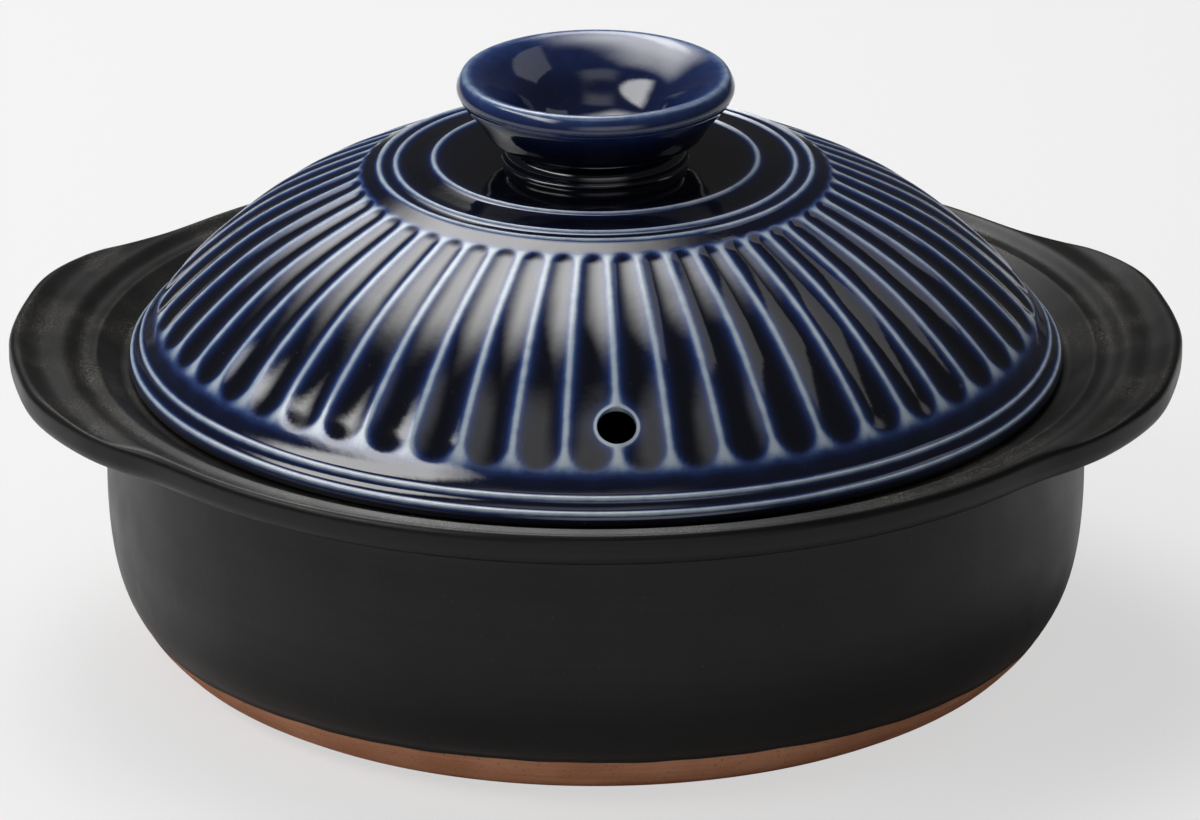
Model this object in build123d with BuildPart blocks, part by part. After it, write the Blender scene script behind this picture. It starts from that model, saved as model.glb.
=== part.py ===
"""A donabe: a round, shallow clay pot with two ears, and a fluted domed lid with a trumpet knob.

Millimetres. The origin is the centre of the base, on the surface that the pot stands on. +Z is up,
the ears point along X, and the steam hole faces -Y.
"""

from build123d import *

import os
from math import cos, radians, sin, sqrt

# Bowl, whose neck, belly and base are set in from the brim
neck_inset = 13.6
belly_swell = 0.6
belly_height = 50.0
base_inset = 24.8
wall = 8.5
floor_height = 11.0
inner_corner_width = 26.0

# Bare foot
glaze_height = 14.0
foot_recess_depth = 2.0
foot_ring_width = 15.0
foot_floor_height = 5.5
foot_skin = 4.6

# Brim, and the gallery that the lid sits in
rim_radius = 148.7
rim_height = 88.3
rim_thickness = 9.7
rim_top_round = 3.0
rim_under_round = 4.0
cove_round = 5.0
lip_thickness = 5.2
lip_slope_height = 7.0
lip_round = 1.5
seat_inset = 17.4
seat_width = 10.8
seat_depth = 6.1
gallery_width = 7.0
ridge_depth = 2.3
ridge_round = 0.8

# Ears, and the seams where they are luted to the brim
ear_stand = 13.7
ear_corner_setback = 10.3
ear_taper = 15.2
ear_root_angle = 34.9
ear_corner_round = 41.0
ear_root_round = 50.0
ear_seam_setback = 4.2
ear_seam_angle = 42.0
seam_valley_depth = 2.9
swell_setback = 5.0
swell_depth = 0.4
ear_valley_depth = 1.4
ear_lip_width = 3.2

# Lid
seat_gap = 0.3
lid_play = 1.8
lid_height = 58.7
lid_wall = 5.5
crown_wall = 6.5
crown_flat_radius = 43.6
crest_top_radius = 61.0
crest_top_depth = 2.6
crest_foot_setback = 5.1
crest_foot_height = 8.7
edge_height = 2.0
edge_round = 1.3
seat_ring_width = 8.2

# Raised beads that ring the crown and the band
crown_bead_radius = 1.1
crown_bead_rise = 0.7
band_bead_radius = 0.9
band_bead_rise = 0.6

# Flutes
flute_count = 52
flute_ridge = 1.3
flute_top_gap = 4.0
flute_foot_gap = 4.8
flute_top_depth = 1.3
flute_foot_depth = 1.9
flute_lift = 0.3

# Steam hole
steam_hole_radius = 5.3
steam_hole_rise = 18.7
steam_hole_flare = 2.6
steam_hole_break = 0.8
steam_hole_angle = -87.5

# Knob
knob_radius = 38.3
knob_height = 24.9
knob_foot_radius = 25.6
knob_foot_height = 3.4
knob_neck_radius = 23.8
knob_neck_height = 8.2
knob_floor = 4.2

# One length that cutting shapes run past the clay by
overrun = 10.0

# Outlines, each pair a share outwards and a share upwards or downwards of the sizes that it follows
side_share = ((0.19, 0.05), (0.36, 0.1), (0.53, 0.18), (0.673, 0.28), (0.915, 0.56))
crest_share = ((0.142, 0.089), (0.331, 0.213), (0.52, 0.363), (0.709, 0.563), (0.851, 0.745), (0.96, 0.92))
flare_share = ((0.18, 0.155), (0.455, 0.285), (0.772, 0.44), (0.965, 0.61), (1.0, 0.765))
lip_share = ((0.982, 0.925), (0.948, 0.994), (0.909, 0.988))
dish_share = ((0.81, 0.91), (0.705, 0.78), (0.6, 0.61), (0.52, 0.4), (0.43, 0.2), (0.27, 0.05), (0.14, 0.0))

# Stations along the crest line and along a flute, and the beads' places
inner_share = (1.0, 0.8, 0.6, 0.35, 0.1)
flute_share = (0.012, 0.06, 0.3, 0.6, 0.86, 0.955, 0.992)
crown_bead_share = (0.06, 0.66, 0.925)
band_bead_share = (0.252, 0.771)

# Radii that follow from the brim's
neck_radius = rim_radius - neck_inset
belly_radius = neck_radius + belly_swell
base_radius = belly_radius - base_inset
seat_radius = rim_radius - seat_inset
mouth_radius = seat_radius - seat_width
ridge_radius = seat_radius + gallery_width
ear_seam_radius = ridge_radius + ear_seam_setback
swell_radius = ear_seam_radius + swell_setback
ear_reach = rim_radius + ear_stand

# Places that follow from the sizes above, each as radius and height
rim_under = rim_height - rim_thickness
seat_height = rim_height - seat_depth
clear_height = rim_height + overrun
lid_base = seat_height + seat_gap
lid_radius = seat_radius - lid_play
crown_height = lid_base + lid_height
ceiling_height = crown_height - crown_wall
crown_edge = (crown_flat_radius, crown_height)
crest_top = (crest_top_radius, crown_height - crest_top_depth)
crest_foot = (lid_radius - crest_foot_setback, lid_base + crest_foot_height)
band_edge = (lid_radius, lid_base + edge_height)
flute_pitch = 360.0 / flute_count


def between(start, end, shares):
    """Places from start towards end, each a share of the way out and a share of the way up or down."""
    width = end[0] - start[0]
    rise = end[1] - start[1]
    return [(start[0] + out * width, start[1] + up * rise) for out, up in shares]


crest = Spline(crest_top, *between(crest_top, crest_foot, crest_share), crest_foot)
crown_slope = Line(crown_edge, crest_top)
band_slope = Line(crest_foot, band_edge)


def crest_plane(distance, azimuth):
    """A plane square to a crest, at a distance down it from the crown, with local y out of the clay."""
    place = crest @ (distance / crest.length)
    run = crest % (distance / crest.length)
    outward = Vector(cos(radians(azimuth)), sin(radians(azimuth)), 0)
    across = Vector(-sin(radians(azimuth)), cos(radians(azimuth)), 0)
    up = Vector(0, 0, 1)
    return Plane(outward * place.X + up * place.Y, x_dir=across, z_dir=outward * run.X + up * run.Y)


def under_crest(share, depth):
    """The place at a depth square under the crest line."""
    place = crest @ share
    run = crest % share
    return (place.X + depth * run.Y, place.Y - depth * run.X)


def bead_places(slope, shares, rise):
    """Centres at shares of the way down a straight slope, each at a rise square above it."""
    outward = Vector(-(slope % 0).Y, (slope % 0).X)
    return [slope @ share + outward * rise for share in shares]


def flute_section(share):
    """How far down the crest a flute's section lies, how deep it cuts and the radius that it is cut with."""
    length = crest.length - flute_top_gap - flute_foot_gap
    distance = flute_top_gap + share * length
    place = crest @ (distance / crest.length)
    half_width = (place.X * radians(flute_pitch) - flute_ridge) / 2
    full_depth = flute_top_depth + share * (flute_foot_depth - flute_top_depth)
    cut_radius = (half_width**2 + full_depth**2) / (2 * full_depth)
    from_end = min(share, 1 - share) * length
    rounding = 1 - (1 - min(from_end / half_width, 1)) ** 2
    return distance, full_depth * rounding, cut_radius


def reach(point):
    """How far a corner of a plan lies from the axis."""
    return Vector(point.X, point.Y).length


def rings(part, height):
    """The circular edges of a part at a height, the smallest first."""
    level = part.edges().filter_by(GeomType.CIRCLE).filter_by_position(Axis.Z, height, height)
    return level.sort_by(SortBy.RADIUS)


def foot_space():
    """A section of the space under the glaze line, outside the seam between the bowl and its bare foot."""
    seam_radius = belly_radius - wall - foot_skin
    with BuildSketch(Plane.XZ) as section:
        Polygon(
            (0, -overrun),
            (rim_radius, -overrun),
            (rim_radius, glaze_height),
            (seam_radius, glaze_height),
            (base_radius - foot_skin, foot_floor_height),
            (0, foot_floor_height),
            align=None,
        )
    return section.sketch


def ear_space(azimuth):
    """A section that is turned through one ear, from its seam with the brim outwards."""
    with BuildSketch(Plane.XZ.rotated((0, 0, azimuth - ear_seam_angle))) as section:
        with Locations((ear_seam_radius, rim_under - overrun)):
            Rectangle(ear_reach, rim_thickness + 2 * overrun, align=(Align.MIN, Align.MIN))
    return section.sketch


# The pot as one body of clay, which its nodes are parted from
with BuildPart() as pot_clay:
    foot_edge = (base_radius, 0)
    belly = (belly_radius, belly_height)
    foot_slope = (1.8, 1)
    with BuildSketch(Plane.XZ):
        with BuildLine():
            sides = between(foot_edge, belly, side_share)
            Spline(foot_edge, *sides, belly, tangents=(foot_slope, (0, 1)))
            Polyline(belly, (neck_radius, rim_under), (0, rim_under), (0, 0), foot_edge)
        make_face()
    revolve(axis=Axis.Z)

    # Brim and both ears in plan, with bull-nosed edges and a cove under the brim
    root = (rim_radius * cos(radians(ear_root_angle)), rim_radius * sin(radians(ear_root_angle)))
    corner = (ear_reach - ear_corner_setback, root[1] - ear_taper)
    with BuildSketch(Plane.XY.offset(rim_under)) as plan:
        Circle(rim_radius)
        for side in (1, -1):
            with BuildLine():
                Polyline((0, 0), (side * root[0], root[1]), (side * corner[0], corner[1]))
                ThreePointArc(
                    (side * corner[0], corner[1]),
                    (side * ear_reach, 0),
                    (side * corner[0], -corner[1]),
                )
                Polyline((side * corner[0], -corner[1]), (side * root[0], -root[1]), (0, 0))
            make_face()
        fillet(plan.vertices().group_by(reach)[-1], ear_corner_round)
        fillet(plan.vertices().group_by(reach)[0], ear_root_round)
    extrude(amount=rim_thickness)
    fillet(pot_clay.edges().group_by(Axis.Z)[-1], rim_top_round)
    underside = pot_clay.faces().filter_by(Plane.XY).sort_by(Axis.Z)[1]
    fillet(underside.outer_wire().edges(), rim_under_round)
    fillet(rings(pot_clay, rim_under), cove_round)

    # Relief of the brim: the flat seat, the gallery's slope, the ridge, and the swell and valleys of the ears
    ridge = (ridge_radius, rim_height - ridge_depth)
    seam_valley = (ear_seam_radius, rim_height - seam_valley_depth)
    swell = (swell_radius, rim_height - swell_depth)
    lip_edge = (ear_reach - ear_lip_width, rim_height)
    ear_valley = ((swell_radius + lip_edge[0]) / 2, rim_height - ear_valley_depth)
    with BuildSketch(Plane.XZ):
        with BuildLine():
            Polyline((0, clear_height), (0, seat_height), (seat_radius, seat_height), ridge)
            Spline(ridge, seam_valley, swell, ear_valley, lip_edge)
            Polyline(lip_edge, (lip_edge[0], clear_height), (0, clear_height))
        make_face()
    revolve(axis=Axis.Z, mode=Mode.SUBTRACT)
    fillet(rings(pot_clay, rim_height - ridge_depth), ridge_round)

    # Hollow of the bowl, drawn in under the lip that carries the seat
    inner_radius = belly_radius - wall
    lip_under = seat_height - lip_thickness
    with BuildSketch(Plane.XZ):
        with BuildLine():
            Line((0, floor_height), (inner_radius - inner_corner_width, floor_height))
            EllipticalCenterArc(
                (inner_radius - inner_corner_width, belly_height),
                inner_corner_width,
                belly_height - floor_height,
                start_angle=270,
                arc_size=90,
            )
            Polyline(
                (inner_radius, belly_height),
                (neck_radius - wall, lip_under - lip_slope_height),
                (mouth_radius, lip_under),
                (mouth_radius, clear_height),
                (0, clear_height),
                (0, floor_height),
            )
        make_face()
    revolve(axis=Axis.Z, mode=Mode.SUBTRACT)
    fillet(rings(pot_clay, seat_height)[0], lip_round)

    # Shallow recess that leaves a ring to stand on
    recess_radius = base_radius - foot_ring_width
    with BuildSketch(Plane.XZ):
        Polygon(
            (0, -overrun),
            (recess_radius + overrun, -overrun),
            (recess_radius - foot_recess_depth, foot_recess_depth),
            (0, foot_recess_depth),
            align=None,
        )
    revolve(axis=Axis.Z, mode=Mode.SUBTRACT)

with BuildPart() as left_ear:
    add(pot_clay.part)
    revolve(ear_space(180), axis=Axis.Z, revolution_arc=2 * ear_seam_angle, mode=Mode.INTERSECT)
left_ear.part.label = "left_ear"

with BuildPart() as right_ear:
    add(pot_clay.part)
    revolve(ear_space(0), axis=Axis.Z, revolution_arc=2 * ear_seam_angle, mode=Mode.INTERSECT)
right_ear.part.label = "right_ear"

with BuildPart() as bare_foot:
    add(pot_clay.part)
    revolve(foot_space(), axis=Axis.Z, mode=Mode.INTERSECT)
bare_foot.part.label = "bare_foot"

with BuildPart() as pot_bowl:
    add(pot_clay.part)
    revolve(foot_space(), axis=Axis.Z, mode=Mode.SUBTRACT)
    for azimuth in (0, 180):
        revolve(ear_space(azimuth), axis=Axis.Z, revolution_arc=2 * ear_seam_angle, mode=Mode.SUBTRACT)
pot_bowl.part.label = "pot_bowl"

# One flute as a cutting shape: a pod of round-bottomed sections strung along the crest line
with BuildPart() as flute_cutter:
    for share in flute_share:
        distance, depth, cut_radius = flute_section(share)
        half_chord = sqrt(cut_radius**2 - (cut_radius - depth - flute_lift) ** 2)
        with BuildSketch(crest_plane(distance, steam_hole_angle + flute_pitch / 2)):
            with BuildLine():
                ThreePointArc((-half_chord, flute_lift), (0, -depth), (half_chord, flute_lift))
                Line((half_chord, flute_lift), (-half_chord, flute_lift))
            make_face()
    loft()

# Lid: crown, dome and band over a hollow that follows the crests, with its flutes and its steam hole
with BuildPart() as lid_dome:
    inner_line = [under_crest(share, lid_wall) for share in inner_share]
    ring_inside = (lid_radius - seat_ring_width, lid_base)
    ring_outside = (lid_radius - edge_round, lid_base)
    with BuildSketch(Plane.XZ) as section:
        with BuildLine():
            Polyline((0, ceiling_height), (0, crown_height), crown_edge, crest_top)
            add(crest)
            Polyline(crest_foot, band_edge, ring_outside, ring_inside, inner_line[0])
            Spline(*inner_line, (crown_flat_radius, ceiling_height))
            Line((crown_flat_radius, ceiling_height), (0, ceiling_height))
        make_face()
        with Locations(*bead_places(crown_slope, crown_bead_share, crown_bead_rise - crown_bead_radius)):
            Circle(crown_bead_radius)
        with Locations(*bead_places(band_slope, band_bead_share, band_bead_rise - band_bead_radius)):
            Circle(band_bead_radius)
    revolve(axis=Axis.Z)
    with PolarLocations(0, flute_count):
        add(flute_cutter.part, mode=Mode.SUBTRACT)
    square = crest_plane(crest.length - steam_hole_rise, steam_hole_angle)
    outside = Plane(square.origin, x_dir=square.x_dir, z_dir=square.y_dir)
    with BuildSketch(outside):
        Circle(steam_hole_radius)
    extrude(amount=lid_wall + overrun, both=True, mode=Mode.SUBTRACT)
    inside = outside.offset(-lid_wall)
    with Locations(inside):
        Cone(
            steam_hole_radius + steam_hole_flare,
            steam_hole_radius,
            steam_hole_flare,
            align=(Align.CENTER, Align.CENTER, Align.MIN),
            mode=Mode.SUBTRACT,
        )
    with Locations(outside.offset(-steam_hole_break)):
        Cone(
            steam_hole_radius,
            steam_hole_radius + 2 * steam_hole_break,
            2 * steam_hole_break,
            align=(Align.CENTER, Align.CENTER, Align.MIN),
            mode=Mode.SUBTRACT,
        )
lid_dome.part.label = "lid_dome"

# Knob: a foot ring, a neck and a trumpet flare, with a deep dish let into its top
with BuildPart() as lid_knob:
    foot = (knob_foot_radius, crown_height + knob_foot_height)
    neck = (knob_neck_radius, crown_height + knob_neck_height)
    top = (knob_radius, crown_height + knob_height)
    floor = (0, crown_height + knob_floor)
    flare = between(neck, top, flare_share)
    lip = between((0, crown_height), top, lip_share)
    dish = between(floor, top, dish_share)
    with BuildSketch(Plane.XZ):
        with BuildLine():
            Polyline(floor, (0, crown_height), (knob_foot_radius, crown_height), foot)
            Spline(foot, neck, *flare, *lip, *dish)
            Line(dish[-1], floor)
        make_face()
    revolve(axis=Axis.Z)
lid_knob.part.label = "lid_knob"

os.makedirs("parts", exist_ok=True)
for node in (pot_bowl, bare_foot, left_ear, right_ear, lid_dome, lid_knob):
    export_step(node.part, "parts/" + node.part.label + ".step")
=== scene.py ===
"""Visual model of a donabe: a shallow clay pot with two ears, a fluted domed lid and a trumpet knob.

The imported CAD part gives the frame. Each visible piece is turned on a wheel, as a potter would throw it:
an outline is drawn point by point, spun round the Z axis and then carved. Sizes in the classes are
millimetres, and MM turns them into Blender's metres. +Z is up, the ears point along X, and the steam hole
faces -Y.
"""

import logging
import math
from dataclasses import dataclass, field
from enum import Enum
from typing import Any

import bpy
import numpy as np
from mathutils import Matrix, Vector


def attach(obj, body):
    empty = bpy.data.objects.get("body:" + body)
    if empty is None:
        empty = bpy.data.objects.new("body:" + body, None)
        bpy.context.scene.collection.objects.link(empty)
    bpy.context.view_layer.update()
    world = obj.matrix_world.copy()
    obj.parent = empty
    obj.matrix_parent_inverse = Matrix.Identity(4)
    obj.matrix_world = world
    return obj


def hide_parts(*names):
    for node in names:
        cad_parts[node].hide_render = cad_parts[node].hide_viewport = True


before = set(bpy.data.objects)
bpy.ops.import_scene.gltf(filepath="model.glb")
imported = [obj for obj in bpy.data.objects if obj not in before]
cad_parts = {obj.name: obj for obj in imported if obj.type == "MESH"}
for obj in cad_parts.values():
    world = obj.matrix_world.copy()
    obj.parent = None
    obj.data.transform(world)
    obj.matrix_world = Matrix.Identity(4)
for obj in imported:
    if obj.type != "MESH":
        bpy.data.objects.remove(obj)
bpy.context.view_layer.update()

MM = 0.001
Pair = tuple[float, float]
Colour = tuple[float, float, float]

log = logging.getLogger("donabe")


class Slot(Enum):
    """The record's material slots."""

    BLACK_GLAZE = "black_glaze"
    BLUE_GLAZE = "blue_glaze"
    BARE_CLAY = "bare_clay"


class Body(Enum):
    """The record's bodies."""

    POT = "pot"
    LID = "lid"


# Lines and outlines


class SmoothLine:
    """A natural cubic line through given places, measured by the straight distances between them."""

    def __init__(self, places: list[Pair]) -> None:
        """Solve the line.

        Args:
            places: Points that the line passes through, in order.
        """
        self.places = np.array(places, float)
        gaps = np.hypot(*np.diff(self.places, axis=0).T)
        self.knots = np.concatenate(([0.0], np.cumsum(gaps)))
        self.length = float(self.knots[-1])
        count = len(places)
        matrix = np.eye(count)
        right = np.zeros((count, 2))
        for i in range(1, count - 1):
            before, after = gaps[i - 1], gaps[i]
            matrix[i, i - 1 : i + 2] = (before, 2 * (before + after), after)
            rise_after = (self.places[i + 1] - self.places[i]) / after
            rise_before = (self.places[i] - self.places[i - 1]) / before
            right[i] = 6 * (rise_after - rise_before)
        self.bends = np.linalg.solve(matrix, right)

    def at(self, distance: np.ndarray) -> np.ndarray:
        """Places on the line.

        Args:
            distance: Distances from the line's start, one or many.

        Returns:
            An array with one row (x, y) for each distance.
        """
        t = np.clip(np.atleast_1d(distance), 0, self.length)
        i = np.clip(np.searchsorted(self.knots, t, side="right") - 1, 0, len(self.knots) - 2)
        gap = (self.knots[i + 1] - self.knots[i])[:, None]
        u = (t - self.knots[i])[:, None]
        v = gap - u
        straight = (self.places[i] * v + self.places[i + 1] * u) / gap
        curl = self.bends[i] * (v**3 / gap - gap * v) + self.bends[i + 1] * (u**3 / gap - gap * u)
        return straight + curl / 6


class Path:
    """A finely stepped outline made of straight and curved runs, with its corners eased."""

    STEP = 0.1

    def __init__(self, runs: list[np.ndarray], ease: float) -> None:
        """Join the runs.

        Args:
            runs: Arrays of (radius, height) in order, end to end.
            ease: Length over which corners are rounded off, in millimetres.
        """
        joined = np.concatenate(runs)
        gaps = np.hypot(*np.diff(joined, axis=0).T)
        joined = joined[np.concatenate(([True], gaps > 1e-6))]
        along = np.concatenate(([0.0], np.cumsum(np.hypot(*np.diff(joined, axis=0).T))))
        self.along = np.arange(0.0, along[-1], self.STEP)
        width = max(1, round(ease / self.STEP)) | 1
        kernel = np.ones(width) / width
        columns = []
        for column in joined.T:
            even = np.interp(self.along, along, column)
            padded = np.pad(even, width // 2, mode="reflect", reflect_type="odd")
            columns.append(np.convolve(padded, kernel, "valid"))
        self.points = np.stack(columns, -1)
        self.length = float(self.along[-1])
        run = np.gradient(self.points, self.along, axis=0)
        run /= np.hypot(*run.T)[:, None]
        self.normals = np.stack([-run[:, 1], run[:, 0]], -1)

    def at(self, distance: np.ndarray) -> np.ndarray:
        """Places at distances from the start, one row (radius, height) each."""
        return np.stack([np.interp(distance, self.along, c) for c in self.points.T], -1)

    def normal(self, distance: np.ndarray) -> np.ndarray:
        """Directions square to the outline, to the left of its run, one row each."""
        return np.stack([np.interp(distance, self.along, c) for c in self.normals.T], -1)


def straight(start: Pair, end: Pair, step: float = 0.5) -> np.ndarray:
    """A straight run from start to end in steps of about the given length."""
    count = max(2, math.ceil(math.dist(start, end) / step) + 1)
    return np.linspace(start, end, count)


def arc(centre: Pair, radii: Pair, first: float, last: float, count: int) -> list[Pair]:
    """Places on an arc of an ellipse.

    Args:
        centre: Centre as (radius, height).
        radii: Half widths along both axes.
        first: Angle of the first place in degrees, from the outward direction.
        last: Angle of the last place in degrees.
        count: How many places.

    Returns:
        The places in order.
    """
    angles = np.radians(np.linspace(first, last, count))
    return [(centre[0] + radii[0] * math.cos(a), centre[1] + radii[1] * math.sin(a)) for a in angles]


# Work on meshes


def clear_selection() -> None:
    """Leave nothing selected and no edit mode open."""
    if bpy.context.object and bpy.context.object.mode != "OBJECT":
        bpy.ops.object.mode_set(mode="OBJECT")
    for obj in bpy.context.selected_objects:
        obj.select_set(False)


def draw_outline(name: str, places: list[Pair]) -> bpy.types.Object:
    """Draw an outline in the XZ plane by extruding one vertex from place to place.

    Args:
        name: Name of the new piece.
        places: Points of the outline as (radius, height) in millimetres.

    Returns:
        The object, which holds a chain of edges.
    """
    clear_selection()
    bpy.ops.mesh.primitive_plane_add(size=MM)
    obj = bpy.context.object
    obj.name = name
    bpy.context.tool_settings.mesh_select_mode = (True, False, False)
    bpy.ops.object.mode_set(mode="EDIT")
    bpy.ops.mesh.merge(type="CENTER")
    bpy.ops.transform.translate(value=(places[0][0] * MM, 0, places[0][1] * MM))
    for (r0, z0), (r1, z1) in zip(places, places[1:]):
        step = ((r1 - r0) * MM, 0, (z1 - z0) * MM)
        bpy.ops.mesh.extrude_region_move(TRANSFORM_OT_translate={"value": step})
    bpy.ops.object.mode_set(mode="OBJECT")
    return obj


def turn(obj: bpy.types.Object, steps: int) -> None:
    """Spin an outline into a closed turned shape, with its seam and poles closed and faces outwards.

    Args:
        obj: Object that holds the outline.
        steps: Faces round the axis.
    """
    bpy.ops.object.mode_set(mode="EDIT")
    bpy.ops.mesh.select_all(action="SELECT")
    bpy.ops.mesh.spin(steps=steps, angle=math.tau, center=(0, 0, 0), axis=(0, 0, 1))
    bpy.ops.mesh.select_all(action="SELECT")
    bpy.ops.mesh.remove_doubles(threshold=MM / 1000)
    bpy.ops.mesh.normals_make_consistent(inside=False)
    bpy.ops.object.mode_set(mode="OBJECT")


def read_places(obj: bpy.types.Object) -> np.ndarray:
    """Vertex places of a mesh in millimetres, one row each."""
    flat = np.empty(len(obj.data.vertices) * 3)
    obj.data.vertices.foreach_get("co", flat)
    return flat.reshape(-1, 3) / MM


def write_places(obj: bpy.types.Object, places: np.ndarray) -> None:
    """Set the vertex places of a mesh from millimetres."""
    obj.data.vertices.foreach_set("co", (places * MM).ravel())
    obj.data.update()


def write_attribute(obj: bpy.types.Object, name: str, values: np.ndarray) -> None:
    """Store one number for each vertex under a name that materials read."""
    attribute = obj.data.attributes.new(name, "FLOAT", "POINT")
    attribute.data.foreach_set("value", values.astype(np.float32))


def smooth(obj: bpy.types.Object, degrees: float) -> None:
    """Shade smooth, apart from edges sharper than an angle."""
    clear_selection()
    obj.select_set(True)
    bpy.context.view_layer.objects.active = obj
    bpy.ops.object.shade_smooth_by_angle(angle=math.radians(degrees))


def hump(distance: np.ndarray, width: float) -> np.ndarray:
    """A smooth hump of height 1 at distance 0 that falls off over a width."""
    return np.exp(-((distance / width) ** 2))


def ripple(azimuth: np.ndarray, waves: tuple[tuple[int, float, float], ...]) -> np.ndarray:
    """A sum of whole waves round the axis.

    Args:
        azimuth: Angles in radians.
        waves: For each wave how many times it goes round, its height and its phase in radians.

    Returns:
        The sum at each angle.
    """
    return sum(height * np.sin(count * azimuth + phase) for count, height, phase in waves)


# Finishes


class Bench:
    """Adds and links the nodes of one material."""

    def __init__(self, name: str) -> None:
        """Start a material that holds one Principled shader.

        Args:
            name: Name of the material.
        """
        self.material = bpy.data.materials.new(name)
        self.material.use_nodes = True
        self.tree = self.material.node_tree
        self.tree.nodes.clear()
        self.shader = self.add("ShaderNodeBsdfPrincipled")
        output = self.add("ShaderNodeOutputMaterial")
        self.link(self.shader.outputs[0], output.inputs["Surface"])
        self.place = self.add("ShaderNodeTexCoord").outputs["Object"]

    def add(self, kind: str, **settings: Any) -> bpy.types.Node:
        """Add a node and set its properties."""
        node = self.tree.nodes.new(kind)
        for key, value in settings.items():
            setattr(node, key, value)
        return node

    def link(self, source: Any, target: bpy.types.NodeSocket) -> None:
        """Link a socket to an input, or set the input to a plain value."""
        if isinstance(source, bpy.types.NodeSocket):
            self.tree.links.new(source, target)
        else:
            target.default_value = source

    def math(self, operation: str, *values: Any, clamp: bool = False) -> bpy.types.NodeSocket:
        """Result of a Math node on sockets or numbers."""
        node = self.add("ShaderNodeMath", operation=operation, use_clamp=clamp)
        for value, target in zip(values, node.inputs):
            self.link(value, target)
        return node.outputs[0]

    def vector(self, operation: str, *values: Any, output: str = "Vector") -> bpy.types.NodeSocket:
        """Result of a Vector Math node on sockets or vectors."""
        node = self.add("ShaderNodeVectorMath", operation=operation)
        for value, target in zip(values, node.inputs):
            self.link(value, target)
        return node.outputs[output]

    def noise(self, scale: float, detail: float = 3.0, stretch: Colour = (1, 1, 1)) -> bpy.types.NodeSocket:
        """Noise from 0 to 1 over Object coordinates.

        Args:
            scale: Features per metre.
            detail: Octaves of finer noise.
            stretch: Factors on the three axes, such as a large last one for level bands.

        Returns:
            The noise's value socket.
        """
        place = self.place
        if stretch != (1, 1, 1):
            place = self.vector("MULTIPLY", self.place, stretch)
        node = self.add("ShaderNodeTexNoise")
        self.link(place, node.inputs["Vector"])
        node.inputs["Scale"].default_value = scale
        node.inputs["Detail"].default_value = detail
        return node.outputs["Fac"]

    def remap(self, value: Any, low: float, high: float, to_low: float, to_high: float) -> bpy.types.NodeSocket:
        """A value carried smoothly from one range to another and held at its ends."""
        node = self.add("ShaderNodeMapRange", interpolation_type="SMOOTHSTEP")
        for source, target in zip((value, low, high, to_low, to_high), node.inputs):
            self.link(source, target)
        return node.outputs[0]

    def ramp(self, value: Any, stops: tuple[tuple[float, Colour], ...]) -> bpy.types.NodeSocket:
        """Colour that a value has on a ramp of (position, colour) stops."""
        node = self.add("ShaderNodeValToRGB")
        self.link(value, node.inputs["Fac"])
        elements = node.color_ramp.elements
        while len(elements) < len(stops):
            elements.new(0.5)
        for element, (position, colour) in zip(elements, stops):
            element.position = position
            element.color = (*colour, 1)
        return node.outputs["Color"]

    def blend(self, share: Any, first: Any, second: Any) -> bpy.types.NodeSocket:
        """Colour between first and second by a share."""
        node = self.add("ShaderNodeMix", data_type="RGBA")
        self.link(share, node.inputs["Factor"])
        for source, target in ((first, node.inputs["A"]), (second, node.inputs["B"])):
            self.link((*source, 1) if isinstance(source, tuple) else source, target)
        return node.outputs["Result"]

    def attribute(self, name: str) -> bpy.types.NodeSocket:
        """Number that a mesh stores under a name."""
        return self.add("ShaderNodeAttribute", attribute_name=name).outputs["Fac"]

    def bump(self, height: Any, distance: float, strength: float = 1.0, base: Any = None) -> bpy.types.NodeSocket:
        """Normal bent by a height, over an earlier bent normal where one is given."""
        node = self.add("ShaderNodeBump")
        node.inputs["Strength"].default_value = strength
        node.inputs["Distance"].default_value = distance
        self.link(height, node.inputs["Height"])
        if base is not None:
            self.link(base, node.inputs["Normal"])
        return node.outputs["Normal"]

    def set(self, **sockets: Any) -> None:
        """Link or set the shader's sockets, named with _ for a space."""
        for name, value in sockets.items():
            self.link(value, self.shader.inputs[name.replace("_", " ")])


THIN_GLAZE = "thin_glaze"


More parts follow.
